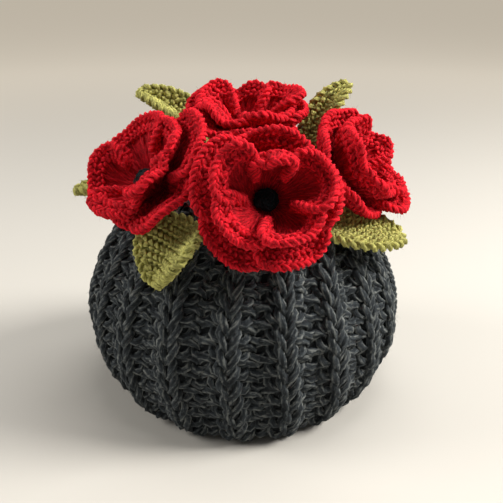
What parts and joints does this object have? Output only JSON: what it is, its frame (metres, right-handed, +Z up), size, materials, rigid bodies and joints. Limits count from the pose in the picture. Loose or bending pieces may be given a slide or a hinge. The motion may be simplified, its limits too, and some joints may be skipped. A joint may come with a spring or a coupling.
{
  "type": "tea cosy",
  "caption": "Hand-knitted ribbed tea cosy with handle and spout slits, trimmed at the crown with crocheted poppies and knitted leaves.",
  "frame": {"origin": "the middle of the hem's opening, on the surface that the cosy stands on", "axes": "+Z up to the crown, +X towards the spout slit, -X towards the handle slit, -Y the front"},
  "size_m": [0.1707, 0.173, 0.1636],
  "materials": {
    "charcoal_wool": "charcoal wool, chunky plied yarn, rib knit",
    "poppy_wool": "scarlet wool, crocheted",
    "button_wool": "black-green wool, crocheted",
    "leaf_yarn": "moss-green yarn, knitted"
  },
  "bodies": {
    "root": {"panel_front": "charcoal_wool", "panel_back": "charcoal_wool", "poppy_front_outer": "poppy_wool", "poppy_front_inner": "poppy_wool", "poppy_front_button": "button_wool", "poppy_left_outer": "poppy_wool", "poppy_left_inner": "poppy_wool", "poppy_left_button": "button_wool", "poppy_top_outer": "poppy_wool", "poppy_top_inner": "poppy_wool", "poppy_top_button": "button_wool", "poppy_right_outer": "poppy_wool", "poppy_right_inner": "poppy_wool", "poppy_right_button": "button_wool", "leaf_front_left": "leaf_yarn", "leaf_front_right": "leaf_yarn", "leaf_back_left": "leaf_yarn", "leaf_back_right": "leaf_yarn", "leaf_left": "leaf_yarn"}
  },
  "joints": []
}
